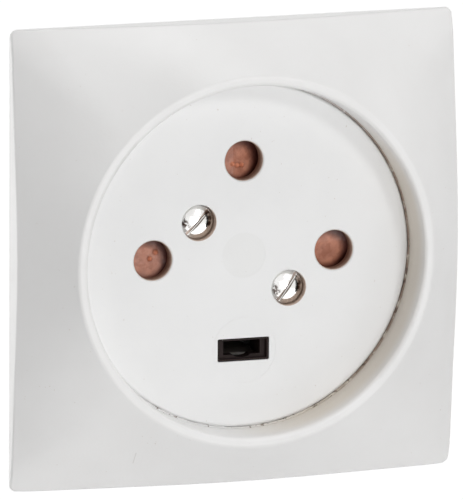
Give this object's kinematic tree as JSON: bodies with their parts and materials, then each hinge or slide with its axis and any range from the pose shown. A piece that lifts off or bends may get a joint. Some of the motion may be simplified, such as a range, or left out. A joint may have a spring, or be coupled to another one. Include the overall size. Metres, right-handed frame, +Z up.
{
  "type": "three-phase power socket",
  "caption": "Flush wall socket with a square domed cover plate, a deep round well, a recessed face with round pin holes, an earth slot and a spring-loaded turning shutter",
  "frame": {"origin": "on the socket's axis, in the wall plane at the back of the cover plate and yoke", "axes": "X is right seen from the front, Z is up, and the socket faces -Y, so +Y goes into the wall box"},
  "size_m": [0.082, 0.0383, 0.082],
  "materials": {
    "plate_white": "white urea moulding with a soft gloss",
    "face_white": "white moulding with a fine satin face",
    "bright_screw": "bright nickel-plated steel",
    "brass": "plain turned and stamped brass",
    "shutter_brown": "brown moulding, satin",
    "spring_steel": "plain spring steel",
    "base_dark": "dark phenolic moulding",
    "plated_steel": "zinc-plated steel",
    "retainer_grey": "grey moulding"
  },
  "bodies": {
    "socket": {"cover_plate": "plate_white", "socket_face": "face_white", "face_screws": "bright_screw", "face_bushes": "brass", "shutter_spring": "spring_steel", "shutter_carrier": "base_dark", "base": "base_dark", "contact_right": "brass", "contact_top": "brass", "contact_left": "brass", "contact_springs": "spring_steel", "earth_contact": "brass", "earth_spring": "spring_steel", "terminal_saddles": "plated_steel", "terminal_screws": "plated_steel", "contact_retainer": "retainer_grey", "retainer_screw": "plated_steel", "retainer_bush": "brass", "yoke": "plated_steel", "yoke_rivets": "plated_steel"},
    "shutter": {"shutter": "shutter_brown"}
  },
  "joints": [
    {"name": "shutter_turn", "type": "hinge", "parent": "socket", "child": "shutter", "pos_m": [0, -0.0032, 0], "axis": [0, -1, 0], "range_deg": [0, 28], "stiffness_Nm_per_rad": 0.004, "springref_deg": -34.38, "deforming": ["shutter_spring"]}
  ]
}
